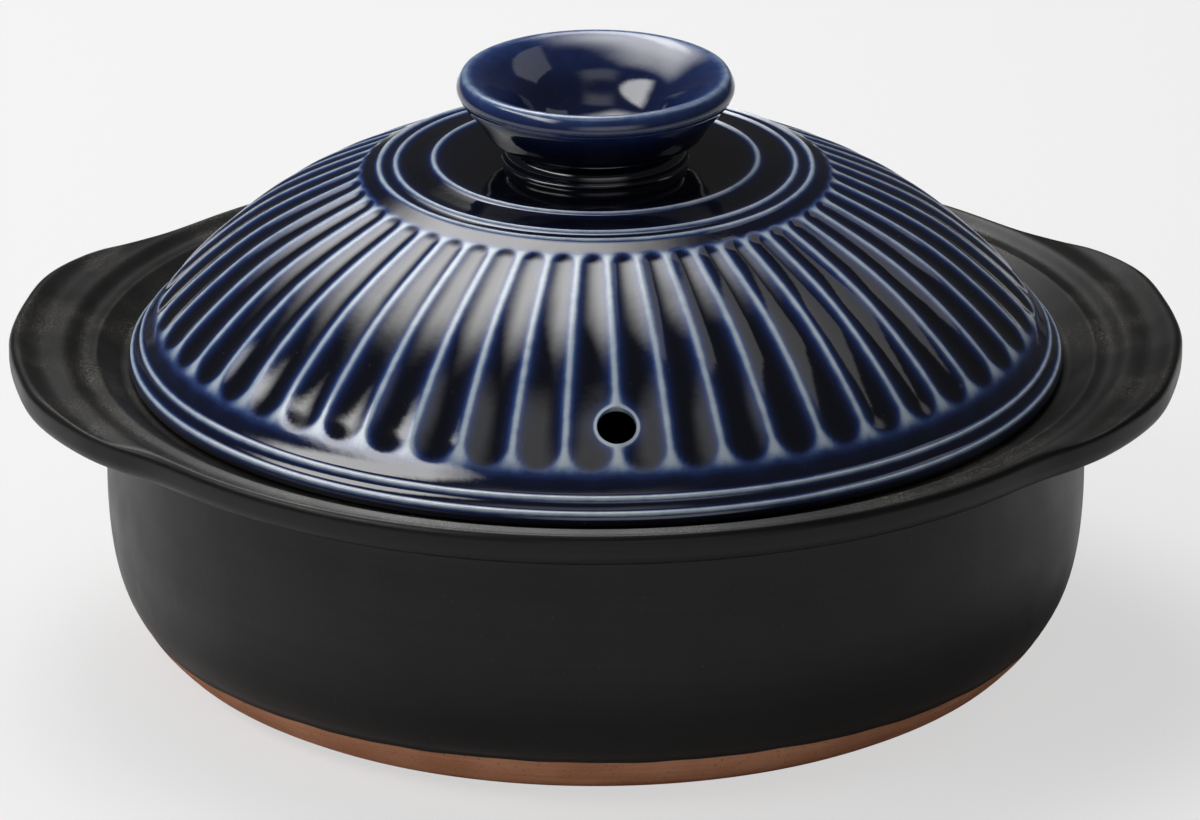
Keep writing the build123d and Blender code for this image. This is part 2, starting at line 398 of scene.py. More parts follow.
@dataclass(frozen=True)
class BlueGlaze:
    """Glossy cobalt glaze: nearly black where it pools, blue as it thins and pale on ridges and beads."""

    name: str = "cobalt_glaze"
    stops: tuple[tuple[float, Colour], ...] = (
        (0.0, (0.0026, 0.0032, 0.0075)),
        (0.06, (0.0034, 0.0054, 0.019)),
        (0.2, (0.0075, 0.0165, 0.07)),
        (0.36, (0.023, 0.047, 0.16)),
        (0.5, (0.07, 0.118, 0.28)),
        (0.68, (0.24, 0.32, 0.46)),
        (0.86, (0.42, 0.5, 0.61)),
        (1.0, (0.52, 0.6, 0.69)),
    )
    hole_line: float = 0.5
    hole_halo: float = 2.8

    def build(self, hole: tuple[Vector, Vector, float] | None = None) -> bpy.types.Material:
        """Make the material.

        Args:
            hole: Centre in metres, axis and radius in millimetres of a hole whose rim the glaze draws off.

        Returns:
            The material.
        """
        bench = Bench(self.name if hole is None else self.name + "_lid")
        thin = bench.attribute(THIN_GLAZE)
        if hole is not None:
            thin = bench.math("ADD", thin, self._round_hole(bench, *hole))
        drift = bench.math("SUBTRACT", bench.noise(260, 2), 0.5)
        grain = bench.math("SUBTRACT", bench.noise(2600, 2), 0.5)
        uneven = bench.math("ADD", bench.math("MULTIPLY", drift, 0.5), bench.math("MULTIPLY", grain, 0.22))
        varied = bench.math("MULTIPLY", thin, bench.math("ADD", uneven, 1.0))
        colour = bench.ramp(bench.math("MULTIPLY", varied, 0.5), self.stops)
        speck = bench.remap(bench.noise(1500, 1), 0.765, 0.8, 0.0, 0.35)
        colour = bench.blend(speck, colour, (0.2, 0.22, 0.25))
        roughness = bench.remap(bench.noise(90, 3), 0.3, 0.7, 0.045, 0.085)
        waves = bench.bump(bench.noise(55, 1), 0.0007, 0.35)
        peel = bench.bump(bench.noise(420, 2), 0.00005, 0.35, waves)
        bench.set(Base_Color=colour, Roughness=roughness, IOR=1.6, Specular_IOR_Level=0.75, Normal=peel)
        return bench.material

    def _round_hole(self, bench: Bench, centre: Vector, axis: Vector, radius: float) -> bpy.types.NodeSocket:
        """How much thinner the glaze is by its distance from the hole's axis."""
        offset = bench.vector("SUBTRACT", bench.place, tuple(centre))
        across = bench.vector("CROSS_PRODUCT", offset, tuple(axis))
        distance = bench.vector("LENGTH", across, output="Value")
        height = bench.vector("DOT_PRODUCT", offset, tuple(axis), output="Value")
        face = bench.remap(height, -3.6 * MM, -2.4 * MM, 0.0, 1.0)
        total = None
        for amount, width, reach in ((1.7, self.hole_line, 0.5), (0.6, self.hole_halo, 0.0)):
            gap = bench.math("DIVIDE", bench.math("SUBTRACT", distance, (radius + reach) * MM), width * MM)
            fall = bench.math("EXPONENT", bench.math("MULTIPLY", bench.math("MULTIPLY", gap, gap), -1.0))
            part = bench.math("MULTIPLY", fall, amount)
            total = part if total is None else bench.math("ADD", total, part)
        return bench.math("MULTIPLY", total, face)


@dataclass(frozen=True)
class BlackGlaze:
    """Satin black glaze with faint level bands from throwing and a dusty bloom where it faces up."""

    name: str = "satin_black_glaze"
    deep: Colour = (0.0046, 0.0046, 0.0047)
    worn: Colour = (0.0076, 0.0074, 0.007)
    dust: Colour = (0.15, 0.138, 0.116)

    def build(self) -> bpy.types.Material:
        """Make the material."""
        bench = Bench(self.name)
        bands = bench.noise(12, 3, (1, 1, 26))
        cloud = bench.noise(28, 4)
        mixed = bench.math("ADD", bench.math("MULTIPLY", bands, 0.5), bench.math("MULTIPLY", cloud, 0.5))
        colour = bench.blend(bench.remap(mixed, 0.38, 0.64, 0.0, 1.0), self.deep, self.worn)
        normal = bench.add("ShaderNodeNewGeometry").outputs["Normal"]
        up = bench.add("ShaderNodeSeparateXYZ")
        bench.link(normal, up.inputs[0])
        facing = bench.remap(up.outputs["Z"], 0.75, 0.99, 0.0, 1.0)
        patch = bench.remap(bench.noise(34, 3), 0.42, 0.68, 0.08, 1.0)
        fleck = bench.remap(bench.noise(1900, 3), 0.43, 0.7, 0.0, 1.0)
        bloom = bench.math("MULTIPLY", bench.math("MULTIPLY", facing, patch), fleck)
        colour = bench.blend(bench.math("MULTIPLY", bloom, 0.8), colour, self.dust)
        speck = bench.remap(bench.noise(1300, 1), 0.76, 0.8, 0.0, 0.3)
        colour = bench.blend(speck, colour, self.dust)
        roughness = bench.remap(bench.noise(60, 4), 0.3, 0.7, 0.33, 0.41)
        rings = bench.bump(bench.noise(9, 2, (1, 1, 14)), 0.0012, 0.06)
        skin = bench.bump(bench.noise(900, 3), 0.00006, 0.6, rings)
        bench.set(Base_Color=colour, Roughness=roughness, IOR=1.5, Specular_IOR_Level=0.34, Normal=skin)
        return bench.material


@dataclass(frozen=True)
class BareClay:
    """Matte terracotta with a fine grain, level scratches from turning and darker grog."""

    name: str = "bare_terracotta"
    low: Colour = (0.48, 0.2, 0.1)
    high: Colour = (0.68, 0.325, 0.185)
    grog: Colour = (0.2, 0.082, 0.05)

    def build(self) -> bpy.types.Material:
        """Make the material."""
        bench = Bench(self.name)
        cloud = bench.noise(45, 4)
        scratches = bench.noise(30, 3, (1, 1, 45))
        mixed = bench.math("ADD", bench.math("MULTIPLY", cloud, 0.6), bench.math("MULTIPLY", scratches, 0.4))
        colour = bench.blend(bench.remap(mixed, 0.33, 0.66, 0.0, 1.0), self.low, self.high)
        grain = bench.remap(bench.noise(2400, 2), 0.35, 0.68, 0.0, 0.35)
        colour = bench.blend(grain, colour, self.high)
        grog = bench.remap(bench.noise(1100, 2), 0.63, 0.72, 0.0, 0.7)
        colour = bench.blend(grog, colour, self.grog)
        lines = bench.bump(bench.noise(22, 3, (1, 1, 60)), 0.0006, 0.6)
        skin = bench.bump(bench.noise(1500, 4), 0.00018, 0.7, lines)
        bench.set(Base_Color=colour, Roughness=0.86, Specular_IOR_Level=0.25, Normal=skin)
        return bench.material


# Pieces


@dataclass
class Foot:
    """The bare clay foot that the pot stands on, with a shallow recess inside its ring."""

    recess_radius: float = 95.9
    recess_depth: float = 2.0
    base_radius: float = 110.9
    edge_round: float = 1.3
    floor_height: float = 5.5
    seam_radius: float = 122.6
    top_height: float = 15.2
    side: tuple[Pair, ...] = ((113.3, 1.3), (115.6, 2.5), (119.8, 5.0), (124.0, 9.0), (127.6, 14.0))
    steps: int = 320

    def build(self, clay: bpy.types.Material) -> bpy.types.Object:
        """Turn the foot.

        Args:
            clay: Finish of bare clay.

        Returns:
            The piece.
        """
        edge = arc((self.base_radius - self.edge_round, self.edge_round), (self.edge_round,) * 2, -90, -35, 5)
        side = SmoothLine([edge[-1], *self.side, (128.0, self.top_height)])
        wall = [tuple(p) for p in side.at(np.linspace(0, side.length, 16))[1:]]
        places = [
            (0, self.recess_depth),
            (self.recess_radius * 0.55, self.recess_depth),
            (self.recess_radius - self.recess_depth - 0.6, self.recess_depth),
            (self.recess_radius - self.recess_depth + 0.4, self.recess_depth - 0.4),
            (self.recess_radius - 0.5, 0.35),
            (self.recess_radius + 0.3, 0),
            (self.recess_radius + 7, 0),
            *edge,
            *wall,
            (self.seam_radius, self.top_height),
            (self.seam_radius - 14, self.floor_height + 1.5),
            (self.seam_radius * 0.5, self.floor_height),
            (0, self.floor_height),
        ]
        foot = draw_outline("foot_clay", places)
        turn(foot, self.steps)
        foot.data.materials.append(clay)
        smooth(foot, 50)
        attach(foot, Body.POT.value)
        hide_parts("bare_foot")
        return foot


@dataclass
class Pot:
    """The glazed bowl with its brim, its two ears and the gallery that the lid sits in."""

    glaze_height: float = 14.0
    glaze_thickness: float = 0.3
    side: tuple[Pair, ...] = ((127.6, 14.0), (131.0, 20.0), (133.6, 28.0), (135.1, 38.0), (135.7, 50.0))
    neck_radius: float = 135.1
    cove_round: float = 5.0
    rim_radius: float = 148.7
    rim_under: float = 78.6
    rim_height: float = 88.3
    rim_top_round: float = 3.0
    rim_under_round: float = 4.0
    ridge: Pair = (138.3, 86.0)
    relief: tuple[Pair, ...] = ((138.3, 86.0), (142.5, 85.4), (147.5, 87.9), (153.35, 86.9), (159.2, 88.3))
    seat_radius: float = 131.3
    seat_height: float = 82.2
    mouth_radius: float = 120.5
    lip_under: float = 77.0
    inner_radius: float = 127.2
    inner_corner: Pair = (26.0, 39.0)
    floor_height: float = 11.0
    ear_reach: tuple[Pair, ...] = (
        (0.0, 162.4),
        (3.5, 162.2),
        (7.1, 161.95),
        (11.05, 161.8),
        (16.15, 161.8),
        (19.8, 160.9),
        (22.9, 159.5),
        (25.4, 158.2),
        (27.6, 156.8),
        (29.7, 155.0),
        (31.4, 153.5),
        (32.9, 152.0),
        (34.6, 150.6),
        (36.5, 149.6),
        (39.0, 148.95),
        (42.0, 148.72),
        (45.0, 148.7),
    )
    ear_rise: float = 2.3
    steps: int = 480
    glaze_edge: tuple[tuple[int, float, float], ...] = ((3, 0.16, 0.4), (11, 0.1, 2.1), (29, 0.07, 4.0), (53, 0.05, 1.0))

    def build(self, glaze: bpy.types.Material) -> bpy.types.Object:
        """Turn the bowl, then draw its ears out of the brim.

        Args:
            glaze: Black finish.

        Returns:
            The piece.
        """
        places, pulls = self._outline()
        pot = draw_outline("pot_glazed", places)
        turn(pot, self.steps)
        self._pull_ears(pot, np.array(places), np.array(pulls))
        pot.data.materials.append(glaze)
        smooth(pot, 48)
        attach(pot, Body.POT.value)
        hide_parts("pot_bowl", "left_ear", "right_ear")
        return pot

    def _outline(self) -> tuple[list[Pair], list[float]]:
        """Outline of the pot away from its ears.

        Returns:
            The places, and for each the share by which it follows an ear outwards.
        """
        side = SmoothLine([*self.side, (135.4, 64.0), (self.neck_radius, self.rim_under - self.cove_round)])
        wall = [tuple(p) for p in side.at(np.linspace(0, side.length, 26))]
        wall = [(r + self._roll(z), z) for r, z in wall if z > self.glaze_height + 0.9]
        edge = [(127.75 + self._roll(z), z) for z in (14.0, 14.12, 14.35, 14.7)]
        cove = arc((self.neck_radius + self.cove_round, self.rim_under - self.cove_round), (self.cove_round,) * 2, 180, 90, 8)
        under = arc(
            (self.rim_radius - self.rim_under_round, self.rim_under + self.rim_under_round),
            (self.rim_under_round,) * 2,
            -90,
            0,
            9,
        )
        top = arc(
            (self.rim_radius - self.rim_top_round, self.rim_height - self.rim_top_round),
            (self.rim_top_round,) * 2,
            0,
            90,
            11,
        )
        shares = np.linspace(1, 0, 26)[1:-1]
        inner_edge = self.rim_radius - self.rim_top_round
        crown = [(self.ridge[0] + s * (inner_edge - self.ridge[0]), self.rim_height) for s in shares]
        lip = arc((self.mouth_radius + 1.5, self.seat_height - 1.5), (1.5, 1.5), 90, 180, 6)
        corner = (self.inner_radius - self.inner_corner[0], self.floor_height + self.inner_corner[1])
        hollow = arc(corner, self.inner_corner, 0, -90, 16)
        start = [(0, 5.5), (60, 5.5), (106.3, 5.5), (122.6, self.glaze_height - 0.1)]
        gallery = [
            (138.35, 86.0),
            (137.9, 85.86),
            (137.3, 85.5),
            (134.4, 83.93),
            (132.0, 82.62),
            (131.2, 82.27),
            (130.2, 82.2),
            (126.5, 82.2),
        ]
        inside = [
            (self.mouth_radius, 79.0),
            (self.mouth_radius, self.lip_under + 0.8),
            (self.mouth_radius + 0.5, self.lip_under),
            (123.4, 73.6),
            (126.2, 70.4),
            (126.7, 69.0),
            (127.0, 60.0),
        ]
        floor = [(80, self.floor_height), (40, self.floor_height), (0, self.floor_height)]
        places = start + edge + wall + cove[1:] + under + top + crown + gallery + lip + inside + hollow + floor
        before = len(start) + len(edge) + len(wall) + len(cove) - 1
        after = len(gallery) + len(lip) + len(inside) + len(hollow) + len(floor)
        pulls = [0.0] * before + [1.0] * (len(under) + len(top)) + list(shares) + [0.0] * after
        return places, pulls

    def _roll(self, height: float) -> float:
        """How far the glaze stands out past the clay at a height, most just over its lower edge."""
        over = max(0.0, height - self.glaze_height)
        return self.glaze_thickness * (1 - math.exp(-over / 0.35)) * math.exp(-over / 9)

    def reach(self, azimuth: np.ndarray) -> np.ndarray:
        """How far the brim or an ear stands out.

        Args:
            azimuth: Angles in radians.

        Returns:
            Radii in millimetres.
        """
        folded = np.degrees(np.abs(azimuth))
        folded = np.minimum(folded, 180 - folded)
        mirrored = [(-a, r) for a, r in self.ear_reach[2:0:-1]]
        tail = [(50.0, self.rim_radius), (55.0, self.rim_radius)]
        line = SmoothLine([*mirrored, *self.ear_reach, *tail])
        fine = line.at(np.linspace(0, line.length, 900))
        return np.maximum(np.interp(folded, fine[:, 0], fine[:, 1]), self.rim_radius)

    def _pull_ears(self, pot: bpy.types.Object, places: np.ndarray, pulls: np.ndarray) -> None:
        """Move the brim out to its ears and press its relief into it.

        Args:
            pot: The turned piece.
            places: Its outline.
            pulls: Share by which each place of the outline follows an ear.
        """
        points = read_places(pot)
        radius = np.hypot(points[:, 0], points[:, 1])
        azimuth = np.arctan2(points[:, 1], points[:, 0])
        row = np.empty(len(points), int)
        for i in range(0, len(points), 4096):
            part = slice(i, i + 4096)
            gaps = (radius[part, None] - places[:, 0]) ** 2 + (points[part, 2, None] - places[:, 1]) ** 2
            row[part] = gaps.argmin(1)
        moved = radius + pulls[row] * (self.reach(azimuth) - self.rim_radius)
        relief = SmoothLine(list(self.relief))
        fine = relief.at(np.linspace(0, relief.length, 600))
        ceiling = np.interp(moved, fine[:, 0], fine[:, 1])
        raised = (pulls[row] > 0) & (points[:, 2] > self.rim_height - self.rim_top_round)
        ease = 0.35
        lower = -ease * np.logaddexp(-points[:, 2] / ease, -ceiling / ease)
        height = np.where(raised, np.minimum(lower + ease * math.log(2) * 0.5, points[:, 2]), points[:, 2])
        glazed_edge = (points[:, 2] > self.glaze_height - 0.2) & (points[:, 2] < self.glaze_height + 0.8) & (radius > 125)
        height = height + np.where(glazed_edge, ripple(azimuth, self.glaze_edge), 0.0)
        lift = self.ear_rise * np.clip((moved - self.rim_radius) / (self.ear_reach[0][1] - self.rim_radius), 0, 1) ** 1.3
        points[:, 0], points[:, 1] = moved * np.cos(azimuth), moved * np.sin(azimuth)
        points[:, 2] = height + lift
        write_places(pot, points)


@dataclass
class Lid:
    """The domed lid: crown with beads, carved flutes, a banded edge and a steam hole."""

    crown_height: float = 141.2
    crown_flat_radius: float = 43.6
    crest: tuple[Pair, ...] = (
        (61.0, 138.6),
        (70.0, 134.38),
        (82.0, 128.5),
        (94.0, 121.4),
        (106.0, 111.9),
        (115.0, 103.3),
        (121.9, 95.0),
        (124.4, 91.2),
    )
    edge: Pair = (129.5, 84.5)
    base_height: float = 82.5
    seat_inner_radius: float = 121.3
    wall: float = 5.5
    ceiling_height: float = 134.7
    crown_beads: tuple[float, ...] = (44.64, 55.21, 59.87)
    crown_bead_rise: float = 0.7
    band_beads: tuple[float, ...] = (2.12, 6.49)
    band_bead_rise: float = 0.6
    bead_width: float = 0.72
    flute_count: int = 52
    flute_ridge: float = 1.3
    flute_top_gap: float = 4.0
    flute_foot_gap: float = 4.8
    flute_depths: Pair = (0.7, 0.95)
    flute_shoal: float = 0.5
    flute_ease: float = 0.3
    columns: int = 12
    crowding: float = 0.6
    hole_azimuth: float = -87.5
    hole_rise: float = 18.7
    hole_radius: float = 5.3
    hole_break: float = 0.8
    hole_flare: float = 2.6
    outer: Path = field(init=False)
    crest_start: float = field(init=False)
    crest_length: float = field(init=False)

    def __post_init__(self) -> None:
        """Work out the upper surface's outline."""
        line = SmoothLine(list(self.crest))
        crest = line.at(np.arange(0, line.length, 0.25))
        flat = (self.crown_flat_radius, self.crown_height)
        runs = [
            straight((0, self.crown_height), flat),
            straight(flat, self.crest[0]),
            crest,
            straight(self.crest[-1], self.edge),
            straight(self.edge, (self.edge[0] - 0.3, self.base_height + 0.8)),
        ]
        self.outer = Path(runs, 1.1)
        self.crest_start = self.crown_flat_radius + math.dist(flat, self.crest[0])
        self.crest_length = float(np.hypot(*np.diff(crest, axis=0).T).sum())

    def beads(self) -> list[tuple[float, float]]:
        """Each bead's distance along the outline from the axis, and its rise."""
        band_start = self.crest_start + self.crest_length
        crown = [(distance, self.crown_bead_rise) for distance in self.crown_beads]
        return crown + [(band_start + distance, self.band_bead_rise) for distance in self.band_beads]

    def _outline(self) -> list[Pair]:
        """Outline of the lid, from the top of the axis over its edge and back under the crown."""
        stations = [0.0, 14.0, 27.0, 34.0, 40.0, 49.0, 51.5, self.outer.length]
        for distance, _ in self.beads():
            stations += [distance + step for step in (-1.7, -1.05, -0.7, -0.35, 0, 0.35, 0.7, 1.05, 1.7)]
        last = self.crest_start + self.crest_length
        top = self.crest_start + self.flute_top_gap
        foot = last - self.flute_foot_gap
        stations += list(np.arange(top - 1.2, top + 5.5, 0.65))
        stations += list(np.arange(top + 6.0, foot - 10.5, 2.4))
        stations += list(np.arange(foot - 9.6, foot + 2.6, 0.8))
        stations = sorted(s for s in stations if s <= self.outer.length)
        kept = [stations[0]]
        for station in stations[1:]:
            if station - kept[-1] > 0.22:
                kept.append(station)
        kept[-1] = self.outer.length
        base = self.outer.at(np.array(kept))
        normal = self.outer.normal(np.array(kept))
        rise = sum(height * hump(np.array(kept) - distance, self.bead_width) for distance, height in self.beads())
        raised = base + normal * rise[:, None]
        upper = [(max(0.0, r), z) for r, z in raised]
        upper[0] = (0.0, self.crown_height)
        seat = [
            (self.edge[0] - 0.75, self.base_height + 0.25),
            (self.edge[0] - 1.4, self.base_height),
            (125.0, self.base_height),
            (self.seat_inner_radius + 0.5, self.base_height),
            (self.seat_inner_radius, self.base_height + 0.5),
        ]
        shares = np.array([0.985, 0.93, 0.85, 0.76, 0.66, 0.55, 0.43, 0.3, 0.17, 0.06])
        along = self.crest_start + shares * self.crest_length
        under = self.outer.at(along) - self.outer.normal(along) * self.wall
        inside = [(float(r), float(z)) for r, z in under]
        ceiling = [(52.0, self.ceiling_height + 0.6), (self.crown_flat_radius, self.ceiling_height), (24.0, self.ceiling_height), (0.0, self.ceiling_height)]
        return upper + seat + inside + ceiling

    def build(self, glaze: BlueGlaze, clay: bpy.types.Material) -> bpy.types.Object:
        """Turn the lid, carve its flutes and drill its steam hole.

        Args:
            glaze: Blue finish.
            clay: Finish of the bare ring that the lid rests on.

        Returns:
            The piece.
        """
        lid = draw_outline("lid_fluted", self._outline())
        turn(lid, self.flute_count * self.columns)
        self._carve(lid)
        centre, axis = self.hole()
        self._drill(lid, centre, axis)
        write_attribute(lid, THIN_GLAZE, self.thinness(read_places(lid)))
        lid.data.materials.append(glaze.build((centre * MM, axis, self.hole_radius)))
        lid.data.materials.append(clay)
        for face in lid.data.polygons:
            middle = face.center / MM
            if middle.z < self.base_height + 0.3 and face.normal.z < -0.5:
                face.material_index = 1
        smooth(lid, 40)
        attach(lid, Body.LID.value)
        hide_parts("lid_dome")
        return lid

    def _lay(self, points: np.ndarray) -> tuple[np.ndarray, np.ndarray, np.ndarray]:
        """Where points lie on the upper surface.

        Args:
            points: Places in millimetres.

        Returns:
            Distance down the outline from the axis, azimuth in radians, and height over the outline.
        """
        radius = np.hypot(points[:, 0], points[:, 1])
        azimuth = np.arctan2(points[:, 1], points[:, 0])
        tree_r, tree_z = self.outer.points.T
        guess = np.interp(radius, np.maximum.accumulate(tree_r), self.outer.along)
        for _ in range(4):
            place, normal = self.outer.at(guess), self.outer.normal(guess)
            run = np.stack([normal[:, 1], -normal[:, 0]], -1)
            offset = np.stack([radius, points[:, 2]], -1) - place
            guess = np.clip(guess + (offset * run).sum(1), 0, self.outer.length)
        place, normal = self.outer.at(guess), self.outer.normal(guess)
        above = ((np.stack([radius, points[:, 2]], -1) - place) * normal).sum(1)
        return guess, azimuth, above

    def _gaps(self, distance: np.ndarray, azimuth: np.ndarray) -> tuple[np.ndarray, ...]:
        """How far places lie outside their own flute and the nearest other one.

        Args:
            distance: Distance down the outline from the axis.
            azimuth: Angle in radians.

        Returns:
            Gap to the flute's own edge, gap to the neighbour's edge (both less than 0 inside), the flute's
            half width there, and how far past its straight part the place is, in half widths.
        """
        pitch = math.tau / self.flute_count
        turns = (azimuth - math.radians(self.hole_azimuth)) / pitch
        phase = turns - np.floor(turns) - 0.5
        start = self.crest_start + self.flute_top_gap
        end = self.crest_start + self.crest_length - self.flute_foot_gap
        fine = np.linspace(start, end, 400)
        half = (self.outer.at(fine)[:, 0] * pitch - self.flute_ridge) / 2
        low = fine[np.argmax(fine - start >= half)]
        high = fine[len(fine) - 1 - np.argmax((end - fine)[::-1] >= half[::-1])]
        centre = np.clip(distance, low, high)
        width = np.interp(centre, fine, half)
        radius = self.outer.at(distance)[:, 0]
        own = np.hypot(phase * pitch * radius, distance - centre) - width
        other = np.hypot((1 - np.abs(phase)) * pitch * radius, distance - centre) - width
        return own, other, width, np.abs(distance - centre) / width

    def _carve(self, lid: bpy.types.Object) -> None:
        """Crowd the columns towards the ridges, then press the flutes in."""
        points = read_places(lid)
        pitch = math.tau / self.flute_count
        radius = np.hypot(points[:, 0], points[:, 1])
        azimuth = np.arctan2(points[:, 1], points[:, 0]) + math.radians(-self.hole_azimuth)
        turns = azimuth / pitch
        # the seam of the turning starts at azimuth 0, so whole turns of the pitch are laid on the ridges
        base = np.round(turns * self.columns) / self.columns
        shift = base + self.crowding * -np.sin(math.tau * base) / math.tau
        azimuth = shift * pitch + math.radians(self.hole_azimuth)
        points[:, 0], points[:, 1] = radius * np.cos(azimuth), radius * np.sin(azimuth)
        distance, azimuth, above = self._lay(points)
        own, _, width, _ = self._gaps(distance, azimuth)
        start = self.crest_start + self.flute_top_gap
        end = self.crest_start + self.crest_length - self.flute_foot_gap
        share = np.clip((distance - start) / (end - start), 0, 1)
        full = self.flute_depths[0] + share * (self.flute_depths[1] - self.flute_depths[0])
        full = full * (1 - self.flute_shoal * np.clip((share - 0.8) / 0.2, 0, 1) ** 2)
        inward = -self.flute_ease * np.logaddexp(0, -own / self.flute_ease)
        across = np.clip(1 + inward / width, 0, 1)
        depth = full * (1 - across**2)
        depth = np.where((above > -1.5) & (distance > self.crest_start), depth, 0)
        normal = self.outer.normal(distance)
        radius = np.hypot(points[:, 0], points[:, 1]) - depth * normal[:, 0]
        points[:, 0], points[:, 1] = radius * np.cos(azimuth), radius * np.sin(azimuth)
        points[:, 2] -= depth * normal[:, 1]
        write_places(lid, points)

    def hole(self) -> tuple[Vector, Vector]:
        """Centre of the steam hole on the upper surface in millimetres, and its axis."""
        along = np.array([self.crest_start + self.crest_length - self.hole_rise])
        (radius, height), (out, up) = self.outer.at(along)[0], self.outer.normal(along)[0]
        angle = math.radians(self.hole_azimuth)
        side = Vector((math.cos(angle), math.sin(angle), 0))
        return side * radius + Vector((0, 0, height)), side * out + Vector((0, 0, up))

    def _drill(self, lid: bpy.types.Object, centre: Vector, axis: Vector) -> None:
        """Cut the steam hole with a turned cutter whose ends flare."""
        r, b, f = self.hole_radius, self.hole_break, self.hole_flare
        rounded = [(r + b - b * math.sin(a), -b + b * math.cos(a)) for a in np.linspace(math.pi / 2, 0.12, 6)]
        cutter = draw_outline(
            "steam_hole_cutter",
            [(0, -12.0), (r + f + 3, -12.0), (r + f, -self.wall), (r, -self.wall + f), *rounded, (r + b + 1.5, 2.0), (r + b + 1.5, 6.0), (0, 6.0)],
        )
        turn(cutter, 72)
        turned = axis.to_track_quat("Z", "Y").to_matrix().to_4x4()
        cutter.data.transform(Matrix.Translation(centre * MM) @ turned)
        clear_selection()
        bpy.context.view_layer.objects.active = lid
        lid.select_set(True)
        cut = lid.modifiers.new("steam_hole", "BOOLEAN")
        cut.operation = "DIFFERENCE"
        cut.solver = "EXACT"
        cut.object = cutter
        bpy.ops.object.modifier_apply(modifier=cut.name)
        bpy.data.objects.remove(cutter)

    def thinness(self, points: np.ndarray) -> np.ndarray:
        """How thin the glaze is at places, from 0 where it pools to about 2 on a ridge.

        Args:
            points: Places in millimetres.

        Returns:
            One number for each place.
        """
        distance, azimuth, above = self._lay(points)
        own, other, _, past = self._gaps(distance, azimuth)
        low = np.clip((distance - self.crest_start) / self.crest_length * 3 - 1, 0, 1)
        spread = np.maximum(0, own + other - self.flute_ridge)
        across = (other - own) / 2
        stripe = 1.2 * hump(across, 0.95 + (0.15 + 0.3 * low) * spread) * hump(spread, 1.9 + 3.1 * low)
        halo = 0.74 * hump(across, 2.7) * hump(spread, 3.0 + 4.0 * low)
        outside = hump(own, 0.9 + 1.9 * low)
        inside = hump(own, 0.6 + 0.3 * low)
        outline = (0.8 - 0.1 * low) * np.clip(past, 0, 1) * np.where(own > 0, outside, inside)
        fade = np.clip((distance - self.crest_start + 1.0) / 4.0, 0.25, 1)
        thin = (stripe + halo + outline) * fade
        for station, _ in self.beads():
            thin = np.maximum(thin, 1.75 * hump(distance - station, 0.75)) + 0.35 * hump(distance - station, 1.7)
        return np.where(above > -3.0, thin, 0.12)


@dataclass
class Knob:
    """The trumpet knob: a foot ring, a neck, a flared lip and a deep dish in its top."""

    crown_height: float = 141.2
    outline: tuple[Pair, ...] = (
        (25.2, 0.8),
        (25.5, 1.9),
        (25.2, 3.2),
        (24.4, 4.3),
        (23.6, 5.2),
        (23.5, 6.2),
        (24.6, 6.9),
        (27.2, 7.1),
        (29.2, 7.5),
        (30.3, 8.7),
        (31.7, 11.0),
        (33.6, 13.6),
        (35.8, 16.2),
        (37.5, 18.5),
        (38.3, 20.98),
        (37.61, 23.03),
        (36.31, 24.75),
        (34.81, 24.6),
        (31.02, 23.04),
        (27.0, 20.35),
        (22.98, 16.83),
        (19.92, 12.48),
        (16.47, 8.34),
        (10.34, 5.24),
        (5.36, 4.2),
    )
    foot_radius: float = 25.6
    dish_floor: float = 4.2
    steps: int = 192
    rows: int = 74
    thin: tuple[Pair, ...] = (
        (0.0, 0.05),
        (10.0, 0.05),
        (16.0, 0.08),
        (21.0, 0.18),
        (25.5, 0.4),
        (29.5, 0.5),
        (31.2, 0.78),
        (32.3, 1.35),
        (33.4, 1.3),
        (34.6, 0.8),
        (36.5, 0.58),
        (40.0, 0.46),
        (48.0, 0.4),
        (60.0, 0.3),
        (72.0, 0.25),
    )

    def build(self, glaze: bpy.types.Material) -> bpy.types.Object:
        """Turn the knob.

        Args:
            glaze: Blue finish.

        Returns:
            The piece.
        """
        line = SmoothLine(list(self.outline))
        stations = np.linspace(0, line.length, self.rows)
        skin = line.at(stations)
        base = self.foot_radius
        places = [
            (0.0, 0.0),
            (base * 0.6, 0.0),
            (base + 0.3, 0.0),
            (base, 0.25),
            *[(float(r), float(z)) for r, z in skin],
            (2.5, self.dish_floor),
            (0.0, self.dish_floor),
        ]
        knob = draw_outline("lid_knob_trumpet", [(r, z + self.crown_height) for r, z in places])
        turn(knob, self.steps)
        points = read_places(knob)
        radius, height = np.hypot(points[:, 0], points[:, 1]), points[:, 2] - self.crown_height
        nearest = ((radius[:, None] - skin[:, 0]) ** 2 + (height[:, None] - skin[:, 1]) ** 2).argmin(1)
        reach, value = np.array(self.thin).T
        write_attribute(knob, THIN_GLAZE, np.interp(stations[nearest], reach, value))
        knob.data.materials.append(glaze)
        smooth(knob, 60)
        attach(knob, Body.LID.value)
        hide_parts("lid_knob")
        return knob


# Studio


